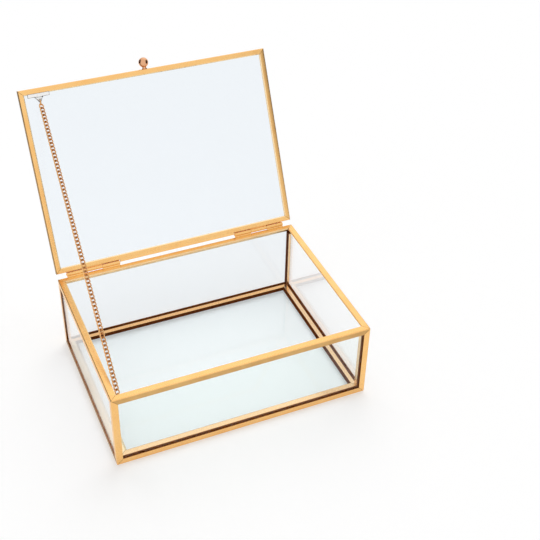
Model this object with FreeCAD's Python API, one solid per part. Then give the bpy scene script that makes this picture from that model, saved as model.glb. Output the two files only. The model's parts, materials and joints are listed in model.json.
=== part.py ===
import FreeCAD, Part
import math
import os

from FreeCAD import Vector

# Hinged glass card box in a brass angle frame, drawn as its separate pieces.
# Millimetres, +Z up, X across the front, -Y towards the front. The lid stands open,
# leaning back on its chain. The box is drawn about the middle of its footprint and
# every piece is then moved so that the origin is under the back bottom rail.

# Overall sizes of the base, without the lid
box_width = 140.0
box_depth = 100.0
box_height = 45.5

# Brass sheet, glass panes and the angle that frames the base
sheet = 0.5
glass = 2.0
pane_play = 0.05
angle_leg = 3.4
bend_radius = 0.45
floor_bead_top = 3.3
floor_bead_foot = 4.6
floor_bead_height = 1.25
corner_bead_width = 1.4
corner_bead_depth = 3.0
rim_bead_width = 1.2
rim_bead_drop = 2.0

# Lid: a pane in a folded channel, shut on the rim with a small gap
lid_flange = 2.6
lid_seat_gap = 0.3
lid_open_deg = 116.4

# Two barrel hinges on the back
hinge_length = 30.0
hinge_inset = 5.5
hinge_axis_rise = 0.8
hinge_pin_radius = 0.5
hinge_pin_play = 0.05
hinge_pin_head = 0.3
knuckle_radius = 1.05
knuckle_gap = 0.15
barrel_gap = 0.25
leaf_thickness = 0.4
leaf_height = 3.2

# Ball knob on the lid's front edge
knob_ball_radius = 2.7
knob_neck_radius = 1.2
knob_neck_length = 1.2
knob_collar_radius = 1.45
knob_collar_length = 0.4

# Stay chain: oval links with a round ring wherever the chain folds
chain_wire = 0.55
link_width = 2.0
link_pitch = 2.09
link_play = 0.05
ring_radius = 1.3
chain_rim_gap = 0.7
chain_floor_gap = 0.15
open_pivot_links = 2
base_run_splay_deg = 2.2
lid_run_splay_deg = 1.0

# Eye for the chain on the base, and the lug for it on the lid
eye_stalk = 0.95
eye_stalk_radius = 0.4
lug_inset = 10.5
lug_length = 11.6
lug_depth = 2.0
tongue_bend_deg = 31.0
tongue_root_width = 4.2
tongue_reach = 2.4
tongue_hole_radius = 0.45
tongue_rim = 0.4

X = Vector(1, 0, 0)
Y = Vector(0, 1, 0)
Z = Vector(0, 0, 1)
OVERCUT = 1.0

# Planes and levels that the pieces share
half_width = box_width / 2
half_depth = box_depth / 2
pane_edge = sheet + pane_play
floor_top = sheet + glass
rim_underside = box_height - sheet
inner_x = half_width - pane_edge - glass
inner_y = half_depth - pane_edge - glass
lid_slot = glass + 2 * pane_play
lid_thickness = lid_slot + 2 * sheet
lid_bottom = box_height + lid_seat_gap
barrel_offset = knuckle_radius + barrel_gap
hinge_axis = Vector(0, half_depth + barrel_offset, box_height + hinge_axis_rise)
origin = Vector(0, half_depth - angle_leg / 2, 0)

ACROSS = {"front": -1, "back": 1}
FLANKS = {"left": -1, "right": 1}


def line(start, end):
    return Part.LineSegment(start, end).toShape()


def prism(points, along):
    """Solid with a flat polygon as its section, drawn out along a vector."""
    return Part.Face(Part.makePolygon(points + points[:1])).extrude(along)


def block(low, high):
    size = high - low
    return Part.makeBox(size.x, size.y, size.z, low)


def opened(shape):
    """The same shape with the lid swung from shut to its open stop."""
    turned = shape.copy()
    turned.rotate(hinge_axis, X, -lid_open_deg)
    return turned


def mitred(solid, start, end, leans, reach):
    """Cut both ends at 45 degrees, once for each pair of leaning and side direction."""
    along = (end - start).normalize()
    for corner, axis in ((start, along), (end, -along)):
        for lean, side in leans:
            triangle = [
                corner - (axis + lean) * OVERCUT - side * OVERCUT,
                corner - axis * OVERCUT + lean * reach - side * OVERCUT,
                corner + (axis + lean) * reach - side * OVERCUT,
            ]
            solid = solid.cut(prism(triangle, side * (reach + 2 * OVERCUT)))
    return solid


def angle_rail(start, end, first, second, leg):
    """Bent brass angle along one outer edge, with its legs along two inward directions."""
    def at(a, b):
        return start + first * a + second * b

    bend_middle = bend_radius * (1 - math.sqrt(0.5))
    outline = [
        line(at(bend_radius, 0), at(leg, 0)),
        line(at(leg, 0), at(leg, sheet)),
        line(at(leg, sheet), at(sheet, sheet)),
        line(at(sheet, sheet), at(sheet, leg)),
        line(at(sheet, leg), at(0, leg)),
        line(at(0, leg), at(0, bend_radius)),
        Part.Arc(at(0, bend_radius), at(bend_middle, bend_middle), at(bend_radius, 0)).toShape(),
    ]
    solid = Part.Face(Part.Wire(outline)).extrude(end - start)
    return mitred(solid, start, end, ((first, second), (second, first)), leg + OVERCUT)


def bead(start, end, inward, rise, outline):
    """Brass bead along an inner corner, its outline in distances inward and along the rise."""
    section = [start + inward * a + rise * b for a, b in outline]
    solid = prism(section, end - start)
    return mitred(solid, start, end, ((inward, rise),), floor_bead_foot + OVERCUT)


def frame_edges(corner):
    """Name, ends and inward directions of the twelve edges of a box."""
    for level, rise, up in (("bottom", 0, Z), ("top", 1, -Z)):
        for name, sy in ACROSS.items():
            yield level, name, corner(-1, sy, rise), corner(1, sy, rise), Y * -sy, up
        for name, sx in FLANKS.items():
            yield level, name, corner(sx, -1, rise), corner(sx, 1, rise), X * -sx, up
    for depth_name, sy in ACROSS.items():
        for flank_name, sx in FLANKS.items():
            name = depth_name + "_" + flank_name
            yield "corner", name, corner(sx, sy, 0), corner(sx, sy, 1), X * -sx, Y * -sy


def outer_corner(sx, sy, rise):
    return Vector(sx * half_width, sy * half_depth, rise * box_height)


def inner_corner(sx, sy, rise):
    level = rim_underside if rise else floor_top
    return Vector(sx * inner_x, sy * inner_y, level)


def base_frame():
    kinds = {"bottom": "bottom_rail_", "top": "top_rail_", "corner": "corner_post_"}
    return {
        kinds[level] + name: angle_rail(start, end, first, second, angle_leg)
        for level, name, start, end, first, second in frame_edges(outer_corner)
    }


def inner_beads():
    """Mitred beads round the floor and the rim, and a bar in each corner between them."""
    kinds = {"bottom": "floor_bead_", "top": "rim_bead_"}
    outlines = {
        "bottom": [
            (0, 0),
            (floor_bead_foot, 0),
            (floor_bead_top, floor_bead_height),
            (0, floor_bead_height),
        ],
        "top": [(0, 0), (rim_bead_width, 0), (0, rim_bead_drop)],
    }
    pieces = {}
    for level, name, start, end, first, second in frame_edges(inner_corner):
        if level == "corner":
            foot = start + Z * floor_bead_height
            head = end - Z * rim_bead_drop
            across = first * corner_bead_width
            along = second * corner_bead_depth
            section = [foot, foot + across, foot + across + along, foot + along]
            pieces["corner_bead_" + name] = prism(section, head - foot)
        else:
            pieces[kinds[level] + name] = bead(start, end, first, second, outlines[level])
    return pieces


def base_panes():
    pane_x = half_width - pane_edge
    pane_y = half_depth - pane_edge
    pane_top = rim_underside - pane_play
    panes = {"floor_glass": block(Vector(-pane_x, -pane_y, sheet), Vector(pane_x, pane_y, floor_top))}
    for name, sy in ACROSS.items():
        near, far = sorted((sy * inner_y, sy * pane_y))
        panes[name + "_glass"] = block(Vector(-pane_x, near, floor_top), Vector(pane_x, far, pane_top))
    for name, sx in FLANKS.items():
        near, far = sorted((sx * inner_x, sx * pane_x))
        panes[name + "_glass"] = block(Vector(near, -inner_y, floor_top), Vector(far, inner_y, pane_top))
    return panes


def lid_rail(start, end, inward):
    """Folded channel along one edge of the shut lid, open towards the pane."""
    def at(a, b):
        return start + inward * a + Z * b

    bend_middle = bend_radius * (1 - math.sqrt(0.5))
    slot_top = sheet + lid_slot
    bend_top = lid_thickness - bend_radius
    lower_bend = Part.Arc(at(0, bend_radius), at(bend_middle, bend_middle), at(bend_radius, 0))
    upper_bend = Part.Arc(
        at(bend_radius, lid_thickness),
        at(bend_middle, lid_thickness - bend_middle),
        at(0, bend_top),
    )
    outline = [
        line(at(bend_radius, 0), at(lid_flange, 0)),
        line(at(lid_flange, 0), at(lid_flange, sheet)),
        line(at(lid_flange, sheet), at(sheet, sheet)),
        line(at(sheet, sheet), at(sheet, slot_top)),
        line(at(sheet, slot_top), at(lid_flange, slot_top)),
        line(at(lid_flange, slot_top), at(lid_flange, lid_thickness)),
        line(at(lid_flange, lid_thickness), at(bend_radius, lid_thickness)),
        upper_bend.toShape(),
        line(at(0, bend_top), at(0, bend_radius)),
        lower_bend.toShape(),
    ]
    solid = Part.Face(Part.Wire(outline)).extrude(end - start)
    return mitred(solid, start, end, ((inward, Z),), lid_flange + lid_thickness)


def lid_frame():
    def corner(sx, sy):
        return Vector(sx * half_width, sy * half_depth, lid_bottom)

    pane_x = half_width - pane_edge
    pane_y = half_depth - pane_edge
    pane_bottom = lid_bottom + pane_edge
    pieces = {
        "lid_glass": block(
            Vector(-pane_x, -pane_y, pane_bottom), Vector(pane_x, pane_y, pane_bottom + glass)
        )
    }
    for name, sy in ACROSS.items():
        pieces["lid_rail_" + name] = lid_rail(corner(-1, sy), corner(1, sy), Y * -sy)
    for name, sx in FLANKS.items():
        pieces["lid_rail_" + name] = lid_rail(corner(sx, -1), corner(sx, 1), X * -sx)
    return pieces


def knob():
    """Collar, neck and ball, turned about a line that leaves the lid's front edge."""
    face = Vector(0, -half_depth, lid_bottom + lid_thickness / 2)
    ball_distance = knob_neck_length + math.sqrt(knob_ball_radius**2 - knob_neck_radius**2)
    collar = Part.makeCylinder(knob_collar_radius, knob_collar_length, face, -Y)
    neck = Part.makeCylinder(knob_neck_radius, ball_distance, face, -Y)
    ball = Part.makeSphere(knob_ball_radius, face - Y * ball_distance, -Y)
    return collar.fuse([neck, ball]).removeSplitter()


def hinge_spans(sx):
    """X limits of a hinge's three knuckles, from left to right."""
    left = -half_width + hinge_inset if sx < 0 else half_width - hinge_inset - hinge_length
    share = (hinge_length - 2 * knuckle_gap) / 3
    starts = [left + index * (share + knuckle_gap) for index in range(3)]
    return [(start, start + share) for start in starts]


def barrel(span, radius):
    start = Vector(span[0], hinge_axis.y, hinge_axis.z)
    return Part.makeCylinder(radius, span[1] - span[0], start, X)


def bored(leaf, spans):
    whole = (spans[0][0] - OVERCUT, spans[-1][1] + OVERCUT)
    return leaf.cut(barrel(whole, hinge_pin_radius + hinge_pin_play)).removeSplitter()


def hinge_base_leaf(sx):
    """Leaf on the back of the base, with the two outer knuckles curled from it."""
    spans = hinge_spans(sx)
    leaf_top = box_height - barrel_gap
    leaf_back = half_depth + leaf_thickness
    leaf = block(
        Vector(spans[0][0], half_depth, leaf_top - leaf_height),
        Vector(spans[2][1], leaf_back, leaf_top),
    )
    curls = []
    for span in (spans[0], spans[2]):
        start = Vector(span[0], 0, 0)
        root_low = leaf_top - 2 * leaf_thickness
        neck = [
            start + Vector(0, half_depth, root_low),
            start + Vector(0, half_depth, leaf_top),
            Vector(span[0], hinge_axis.y, hinge_axis.z),
            start + Vector(0, leaf_back, root_low),
        ]
        curls.append(barrel(span, knuckle_radius))
        curls.append(prism(neck, X * (span[1] - span[0])))
    return bored(leaf.fuse(curls), spans)


def hinge_lid_leaf(sx):
    """Leaf on the back of the shut lid, with the middle knuckle curled from it."""
    spans = hinge_spans(sx)
    leaf_back = half_depth + leaf_thickness
    leaf_top = lid_bottom + lid_thickness - bend_radius
    clear_rise = math.sqrt((knuckle_radius + barrel_gap) ** 2 - (barrel_offset - leaf_thickness) ** 2)
    leaf = block(
        Vector(spans[0][0], half_depth, hinge_axis.z + clear_rise),
        Vector(spans[2][1], leaf_back, leaf_top),
    )
    middle = spans[1]
    root = block(Vector(middle[0], half_depth, hinge_axis.z), Vector(middle[1], leaf_back, leaf_top))
    return bored(leaf.fuse([root, barrel(middle, knuckle_radius)]), spans)


def hinge_pin(sx):
    spans = hinge_spans(sx)
    return barrel((spans[0][0] - hinge_pin_head, spans[2][1] + hinge_pin_head), hinge_pin_radius)


# Ends of the stay chain: the eye in the front left corner and the ring on the lid's lug
rim_bead_middle = Vector(0, rim_bead_width / 2 - inner_y, rim_underside - rim_bead_drop / 2)
eye_direction = Vector(0, rim_bead_drop, -rim_bead_width).normalize()
eye_x = angle_leg - half_width + link_width / 2 + chain_rim_gap
eye_centre = Vector(eye_x, 0, 0) + rim_bead_middle + eye_direction * (eye_stalk + ring_radius)

lug_x = lug_inset - half_width
tongue_bend = math.radians(tongue_bend_deg)
tongue_root = Vector(lug_x, lid_flange - half_depth + lug_depth, lid_bottom + sheet / 2)
tongue_along = Vector(0, math.cos(tongue_bend), -math.sin(tongue_bend))
tongue_normal = Vector(0, math.sin(tongue_bend), math.cos(tongue_bend))
tongue_hole = tongue_root + tongue_along * tongue_reach
lug_ring_shut = tongue_hole + tongue_along * ring_radius
lid_turn = FreeCAD.Rotation(X, -lid_open_deg)
lug_ring_centre = hinge_axis + lid_turn.multVec(lug_ring_shut - hinge_axis)

# The taut chain: an even number of pitches from the eye to the lug's ring
chain_line = lug_ring_centre - eye_centre
link_count = 2 * round(chain_line.Length / link_pitch / 2)
pitch = chain_line.Length / link_count
chain_along = Vector(chain_line).normalize()
chain_hinge = chain_along.cross(Z).normalize()
chain_normal = chain_hinge.cross(chain_along)
ring_wire = chain_wire / 2
link_inner_half = pitch - ring_radius + ring_wire + link_play

# Where the chain folds when the lid is shut: two falls to the floor and a turn between them
fall_height = eye_centre.z - floor_top - ring_radius - ring_wire - chain_floor_gap
fall_links = 2 * int(fall_height / pitch / 2)
turn_index = fall_links + (link_count - 2 * fall_links) // 2
turn_index += 1 - turn_index % 2
far_index = link_count - fall_links
base_run_hinge = FreeCAD.Rotation(chain_along, -base_run_splay_deg).multVec(chain_hinge)
lid_run_hinge = FreeCAD.Rotation(chain_along, -lid_run_splay_deg).multVec(chain_hinge)


def chain_point(index):
    return eye_centre + chain_line * (index / link_count)


def link_axis(index):
    """Normal of a link's flat side: even links face along the fold axis, odd ones across it."""
    return chain_hinge if index % 2 == 0 else chain_normal


def ring(centre, normal):
    return Part.makeTorus(ring_radius, ring_wire, centre, normal)


def oval_link():
    """One link about the origin, long side along X and flat side facing Z."""
    end_radius = (link_width - chain_wire) / 2
    straight = link_inner_half + ring_wire - end_radius
    path = Part.Wire([
        line(Vector(-straight, -end_radius, 0), Vector(straight, -end_radius, 0)),
        Part.Arc(
            Vector(straight, -end_radius, 0),
            Vector(straight + end_radius, 0, 0),
            Vector(straight, end_radius, 0),
        ).toShape(),
        line(Vector(straight, end_radius, 0), Vector(-straight, end_radius, 0)),
        Part.Arc(
            Vector(-straight, end_radius, 0),
            Vector(-straight - end_radius, 0, 0),
            Vector(-straight, -end_radius, 0),
        ).toShape(),
    ])
    section = Part.Wire(Part.makeCircle(ring_wire, Vector(-straight, -end_radius, 0), X))
    return path.makePipeShell([section], True, False)


def placed_link(link, index):
    normal = link_axis(index)
    side = normal.cross(chain_along)
    centre = chain_point(index)
    place = FreeCAD.Matrix(
        chain_along.x, side.x, normal.x, centre.x,
        chain_along.y, side.y, normal.y, centre.y,
        chain_along.z, side.z, normal.z, centre.z,
        0, 0, 0, 1,
    )
    return link.transformed(place, copy=True)


def stay_chain():
    """Five stretches of links, three of them with the round ring that they fold on."""
    link = oval_link()
    turn_end = turn_index + 2
    stretches = {
        "chain_base_fall": range(1, fall_links),
        "chain_base_run": range(fall_links + 1, turn_index),
        "chain_turn": range(turn_index + 1, turn_end),
        "chain_lid_run": range(turn_end + open_pivot_links, far_index),
        "chain_lid_fall": range(far_index + 1, link_count),
    }
    rings = {
        "chain_base_run": ring(chain_point(fall_links), base_run_hinge),
        "chain_turn": ring(chain_point(turn_index), chain_normal),
        "chain_lid_run": ring(chain_point(far_index), lid_run_hinge),
    }
    pieces = {}
    for name, indices in stretches.items():
        solids = [placed_link(link, index) for index in indices]
        if name in rings:
            solids.append(rings[name])
        pieces[name] = Part.makeCompound(solids)
    return pieces


def chain_eye():
    """Ring on a short stalk that is soldered to the front rim bead."""
    foot = Vector(eye_x, 0, 0) + rim_bead_middle
    stalk = Part.makeCylinder(eye_stalk_radius, eye_stalk, foot, eye_direction)
    return ring(eye_centre, chain_hinge).fuse(stalk)


def chain_lug():
    """Strip along the inner edge of the lid's front rail, with a bent tongue for the ring."""
    back = tongue_root.y
    strip = block(
        Vector(lug_x - lug_length / 2, back - lug_depth, lid_bottom),
        Vector(lug_x + lug_length / 2, back, lid_bottom + sheet),
    )
    tip_radius = tongue_hole_radius + tongue_rim
    underside = tongue_normal * (-sheet / 2)
    root_half = X * (tongue_root_width / 2)
    tip_half = X * tip_radius
    blade_points = [
        tongue_root + underside - root_half,
        tongue_root + underside + root_half,
        tongue_hole + underside + tip_half,
        tongue_hole + underside - tip_half,
    ]
    blade = prism(blade_points, tongue_normal * sheet)
    tip = Part.makeCylinder(tip_radius, sheet, tongue_hole + underside, tongue_normal)
    fold = Part.makeCylinder(sheet / 2, tongue_root_width, tongue_root - root_half, X)
    hole_start = tongue_hole - tongue_normal * OVERCUT
    hole = Part.makeCylinder(tongue_hole_radius, 2 * OVERCUT, hole_start, tongue_normal)
    return strip.fuse([fold, blade, tip]).cut(hole).removeSplitter()


def all_pieces():
    pieces = {}
    pieces.update(base_panes())
    pieces.update(base_frame())
    pieces.update(inner_beads())
    pieces["chain_eye"] = chain_eye()
    lid_pieces = lid_frame()
    lid_pieces["knob"] = knob()
    lid_pieces["chain_lug"] = chain_lug()
    for name, sx in FLANKS.items():
        pieces["hinge_leaf_base_" + name] = hinge_base_leaf(sx)
        pieces["hinge_pin_" + name] = hinge_pin(sx)
        lid_pieces["hinge_leaf_lid_" + name] = hinge_lid_leaf(sx)
    for name, shape in lid_pieces.items():
        pieces[name] = opened(shape)
    pieces["lug_ring"] = ring(lug_ring_centre, chain_hinge)
    pieces.update(stay_chain())
    return pieces


os.makedirs("parts", exist_ok=True)
for piece_name, piece in all_pieces().items():
    piece.translate(-origin)
    piece.exportStep("parts/" + piece_name + ".step")
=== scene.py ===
import json
import math

import bmesh
import bpy
from mathutils import Matrix, Vector


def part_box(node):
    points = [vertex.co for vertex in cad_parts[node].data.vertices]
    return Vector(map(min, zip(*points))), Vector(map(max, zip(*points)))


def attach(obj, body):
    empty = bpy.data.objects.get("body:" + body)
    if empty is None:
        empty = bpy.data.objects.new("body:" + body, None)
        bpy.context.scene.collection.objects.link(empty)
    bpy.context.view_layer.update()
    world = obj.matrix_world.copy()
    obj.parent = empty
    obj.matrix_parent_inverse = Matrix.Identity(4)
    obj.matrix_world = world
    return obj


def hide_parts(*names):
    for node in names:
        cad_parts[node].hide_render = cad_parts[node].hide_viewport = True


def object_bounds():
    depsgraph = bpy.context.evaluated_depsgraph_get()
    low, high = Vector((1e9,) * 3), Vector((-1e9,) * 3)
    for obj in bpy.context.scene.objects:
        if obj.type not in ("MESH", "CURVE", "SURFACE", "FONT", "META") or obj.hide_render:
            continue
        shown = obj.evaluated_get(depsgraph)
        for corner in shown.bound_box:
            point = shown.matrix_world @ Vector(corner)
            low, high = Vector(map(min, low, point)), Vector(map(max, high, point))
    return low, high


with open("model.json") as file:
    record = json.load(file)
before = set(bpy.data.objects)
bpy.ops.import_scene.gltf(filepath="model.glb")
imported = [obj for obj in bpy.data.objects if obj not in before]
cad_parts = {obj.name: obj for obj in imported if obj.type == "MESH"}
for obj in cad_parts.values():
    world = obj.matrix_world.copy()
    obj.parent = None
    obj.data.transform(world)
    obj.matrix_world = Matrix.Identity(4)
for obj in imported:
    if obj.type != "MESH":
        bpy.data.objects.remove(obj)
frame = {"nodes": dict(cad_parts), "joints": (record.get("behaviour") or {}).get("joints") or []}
CAD_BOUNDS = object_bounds()

bl_info = {
    "name": "Hinged glass box",
    "version": (1, 0, 0),
    "blender": (4, 5, 0),
    "location": "View3D > Sidebar > Glass box",
    "description": "Dresses a brass framed glass box with a hinged lid and a stay chain",
    "category": "Object",
}

MM = 0.001
X, Y, Z = Vector((1, 0, 0)), Vector((0, 1, 0)), Vector((0, 0, 1))
ACROSS = {"front": -1, "back": 1}
FLANKS = {"left": -1, "right": 1}

# Places in a rail's list of finishes; a bead's list has only the first two
# Places 2 and 3 pick darker copies of the brass as painted shade, and place 4 picks a lighter copy as a painted
# highlight
BRIGHT, BEDDED, SHADED, DEEP_SHADE, PALE = 0, 1, 2, 3, 4
RAIL_FINISHES = ("frame", "bedding", "dull", "aged", "rim")
# Beads painted dark on their open and bedded faces, as painted shade for the shaded corner they mirror, and the
# bead whose back is painted bright, a painted highlight seen through its pane
SHADE_PAINTED_BEADS = ("back", "right", "back_right")
BRIGHT_BACKED = ("left",)
# Rails whose outer side is darkened as painted shade, for the darker surroundings it mirrors
SHADE_PAINTED = {"top_rail_front": SHADED, "bottom_rail_left": DEEP_SHADE, "lid_rail_left": DEEP_SHADE}

# Patterns of the finishes, with scales per metre, and the middle half of a noise
CLOUDS = {"scale": 120, "detail": 3}
GRAIN = {"scale": 1400, "detail": 4}
HAMMERING = {"scale": 700, "detail": 2}
DARK_SPOTS = {"scale": 450, "detail": 5}
DARK_GRAIN = {"scale": 900, "detail": 3}
SMEARS = {"scale": 35, "detail": 4, "stretch": (1, 0.4, 1)}
NOISE_LOW, NOISE_HIGH = 0.25, 0.75
HAMMER_STRENGTH, HAMMER_DEPTH = 0.12, 0.05 * MM
# Attribute that is high at the ends of a chain link, where painted shade darkens the overlaps between links
SHADE_ATTRIBUTE = "end_shade"

# Ranges of roughness
KNOB_POLISH = (0.12, 0.2)
RIM_POLISH = (0.15, 0.27)
WIRE_POLISH = (0.16, 0.26)
BEAD_POLISH = (0.18, 0.32)
FRAME_POLISH = (0.2, 0.34)
LUG_POLISH = (0.25, 0.4)
SHADE_PAINTED_POLISH = (0.3, 0.42)
DEEP_SHADE_POLISH = (0.3, 0.45)
BEDDED_POLISH = (0.45, 0.7)
GLASS_POLISH = (0.0, 0.03)

# Shares of a colour that its darker patches keep, and that a side darkened with painted shade or deeper painted
# shade keeps
DEEP_SHARES = {
    "rim": 0.95, "bead": 0.94, "bead_pale": 0.95, "bead_deep": 0.95, "chain": 0.85, "knob": 0.85, "lug": 0.93,
}
SHADE_PAINTED_BRIGHT, SHADE_PAINTED_DEEP = 0.72, 0.62
DEEP_SHADE_BRIGHT, DEEP_SHADE_DEEP = 0.3, 0.5
# How much lighter the spots on the dark finishes are, and how little they shine
SPOT_LIFT = 1.8
DARK_SHINE = 0.05
# Strength of the mirror on each glass
MIRRORS = {"wall_glass": 0.2, "side_glass": 1.0, "front_glass": 0.2, "floor_glass": 0.2, "lid_glass": 0.2}
GLASS_IOR = 1.5

# Edges: angles from which they are rounded or kept sharp and up to which faces are joined as flat, how close
# points are merged, and how close to the diagonal a point of an outline counts as on the fold
ROUNDED_FROM = math.radians(35)
SHARP_FROM = math.radians(40)
FLAT_WITHIN = math.radians(1)
MERGE_REACH = 0.001 * MM
ON_FOLD = 1e-9
# Panes: their play in the seat and the width of their ground edges
PANE_PLAY = 0.01 * MM
GROUND_EDGE = 0.15 * MM
# Knob: faces round it, steps along its neck and ball, and the share of the neck that its waist takes off
KNOB_SIDES, NECK_STEPS, BALL_STEPS = 40, 6, 22
WAIST = 0.12
# Chain links: points round a link and sides of its wire
LINK_POINTS, WIRE_SIDES = 18, 8
# Lug: least upward or downward part of the normal of a face painted as a highlight
LUG_FACING = 0.6

# Stage, in metres: the floor, its bounced light, and the cards with their place, width and height.
# The camera's sensor alone is in millimetres.
FLOOR_HALF, FLOOR_DROP = 6.0, 0.02 * MM
FLOOR_BOUNCE = 0.8
CARD_COLOUR = (0.09, 0.055, 0.04)
CARD_FADE = 0.4
CARD_AIM = Vector((0, 0.05, 0.19))
CARDS = {
    "left_card": (Vector((-0.23, 0.19, 0.19)), 0.47, 0.48),
    "right_card": (Vector((0.27, -0.03, 0.19)), 0.49, 0.48),
}
SENSOR_WIDTH = 36.0
CLIP_NEAR, CLIP_FAR = 0.01, 100.0

# The lid swings from its open rest to shut about this line
JOINTS = {joint["name"]: joint for joint in frame["joints"]}
HINGE_POINT = Vector(JOINTS["lid_hinge"]["pos_m"])
LID_TURN = math.radians(JOINTS["lid_hinge"]["range_deg"][1])
SHUT = Matrix.Translation(HINGE_POINT) @ Matrix.Rotation(LID_TURN, 4, "X") @ Matrix.Translation(-HINGE_POINT)
OPEN = SHUT.inverted()


def shut_box(node):
    """Lowest and highest corner of a lid node with the lid shut."""
    points = [SHUT @ vertex.co for vertex in frame["nodes"][node].data.vertices]
    low = Vector(min(point[axis] for point in points) for axis in range(3))
    high = Vector(max(point[axis] for point in points) for axis in range(3))
    return low, high


# Corners of the base's outside, of the space between its panes, and of the shut lid
BASE_LOW = Vector((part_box("bottom_rail_left")[0].x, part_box("bottom_rail_front")[0].y, 0))
BASE_HIGH = Vector((
    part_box("bottom_rail_right")[1].x,
    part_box("bottom_rail_back")[1].y,
    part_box("top_rail_back")[1].z,
))
INNER_LOW = Vector((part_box("left_glass")[1].x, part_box("front_glass")[1].y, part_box("floor_glass")[1].z))
INNER_HIGH = Vector((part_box("right_glass")[0].x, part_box("back_glass")[0].y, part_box("rim_bead_back")[1].z))
LID_LOW, LID_HIGH = shut_box("lid_rail_front")[0], shut_box("lid_rail_back")[1]


# Properties

def length_property(name, description, millimetres):
    return bpy.props.FloatProperty(
        name=name, description=description, default=millimetres * MM, unit="LENGTH", precision=5
    )


def angle_property(name, description, degrees):
    return bpy.props.FloatProperty(
        name=name, description=description, default=math.radians(degrees), subtype="ANGLE"
    )


def colour_property(name, description, colour):
    return bpy.props.FloatVectorProperty(
        name=name, description=description, default=colour, subtype="COLOR", size=3
    )


def place_property(name, description, place):
    return bpy.props.FloatVectorProperty(
        name=name, description=description, default=place, subtype="XYZ", size=3
    )


def plain_property(name, description, value):
    return bpy.props.FloatProperty(name=name, description=description, default=value)


class BrassSizes(bpy.types.PropertyGroup):
    """Sizes of the folded brass and of its turned and soldered pieces."""

    sheet: length_property("Sheet", "Thickness of the folded brass", 0.5)
    bend: length_property("Bend", "Outer radius of a fold", 0.45)
    bend_steps: bpy.props.IntProperty(name="Bend steps", description="Faces round a fold", default=6, min=2)
    edge_round: length_property("Edge round", "Rounding of the cut edges", 0.07)
    bead_crown: length_property("Bead crown", "Swell of a bead's open face", 0.06)
    bead_top: length_property("Bead top", "From the pane to the inner edge of a floor bead's top", 3.3)
    # Bands on a bead's top along its pane, in the bead's back finish: the thin one is dark on the front bead
    # and the corners and pale on the left bead, and the wide one is painted shade on the back and right beads
    thin_back_band: length_property("Thin seal", "Dark seal along the front and left panes and the corners", 0.4)
    wide_shade_band: length_property("Wide seal", "Dark seal along the back and right panes", 0.95)
    lip: length_property("Lip", "Width of the sealed lip along the lid's pane", 0.5)
    lip_contact: length_property("Lip contact", "How far the lip reaches in to meet the pane", 0.08)
    hinge_lip: length_property("Hinge lip", "Reach of the lid's lip between the hinges", 1.1)
    hinge_room: length_property("Hinge room", "Gap from that lip to each hinge", 0.4)
    chain_room: length_property("Chain room", "Taken off the corner bead beside the folded chain", 0.4)
    # The lug's dark border is painted shade
    lug_border: length_property("Lug border", "Width of the lug's dark border", 0.18)
    seam: length_property("Seam", "Gap that a rail leaves at each mitre", 0.06)
    neck_radius: length_property("Neck radius", "Radius of the knob's neck", 1.2)
    collar_radius: length_property("Collar radius", "Radius of the knob's collar", 1.45)
    collar_length: length_property("Collar length", "Length of the knob's collar", 0.4)


class ChainSizes(bpy.types.PropertyGroup):
    """Sizes of the curb chain."""

    pitch: length_property("Pitch", "Distance from link to link", 2.08)
    wire: length_property("Wire", "Diameter of a link's wire", 0.68)
    width: length_property("Width", "Width of a link", 2.65)
    twist: length_property("Twist", "Rise and fall of a link's wire", 0.4)


class Finishes(bpy.types.PropertyGroup):
    """Colours of the brass and the glass."""

    brass: colour_property("Brass", "Bright brass of the frame and the hinges", (0.965, 0.60, 0.24))
    brass_deep: colour_property("Deep brass", "Brass where it is handled less", (0.93, 0.53, 0.19))
    # The rim, pale bead and deep bead colours are lighter and deeper copies of the brass for single places, as
    # painted light and shade: rim on the rim beads, the back rail's top, the lid's lip and the left bead; pale
    # bead on the right beads; deep bead on the back bead's top
    rim: colour_property("Rim", "Pale brass of the rim's beads and the back rail's top", (0.99, 0.79, 0.50))
    bead: colour_property("Bead", "Front floor bead and most corner beads", (0.95, 0.655, 0.37))
    bead_pale: colour_property("Pale bead", "Right floor bead and back right corner bead", (1.0, 0.70, 0.42))
    bead_deep: colour_property("Deep bead", "Top of the back floor bead", (1.0, 0.58, 0.26))
    chain: colour_property("Chain", "Redder brass of the chain", (0.93, 0.53, 0.22))
    # Painted shade at the ends of the links, where they overlap
    chain_end_shade: colour_property("Worn chain", "Ends of the links, where they rub", (0.56, 0.26, 0.09))
    # The knob's colour is a redder brass, also darkened as painted shade for the dark it mirrors
    knob: colour_property("Knob", "Polished redder brass of the knob", (0.84, 0.45, 0.25))
    bedding: colour_property("Bedding", "Brass bedded on the glass", (0.25, 0.072, 0.011))
    # Painted shade on the back and right beads, darker than the bedding, for the shaded corner they mirror
    tarnish: colour_property("Tarnish", "Dark sides of the back and right beads", (0.10, 0.024, 0.004))
    # The lug's near white is a painted highlight, and its dark border and sides are painted shade
    lug: colour_property("Lug", "Tinned strip that holds the chain", (0.93, 0.93, 0.92))
    lug_edge: colour_property("Lug edge", "Dark border of that strip", (0.22, 0.17, 0.13))
    # Each pane's tint is the glass's faint green-blue, made lighter or darker pane by pane as painted light and
    # shade
    wall_glass: colour_property("Wall glass", "Tint of the back pane", (0.865, 0.90, 0.925))
    side_glass: colour_property("Side glass", "Tint of the left and right panes", (0.975, 0.975, 0.98))
    front_glass: colour_property("Front glass", "Tint of the front pane", (0.955, 0.985, 0.97))
    floor_glass: colour_property("Floor glass", "Tint of the floor's pane", (0.93, 0.965, 0.97))
    lid_glass: colour_property("Lid glass", "Tint of the lid's pane", (0.87, 0.91, 0.945))


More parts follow.
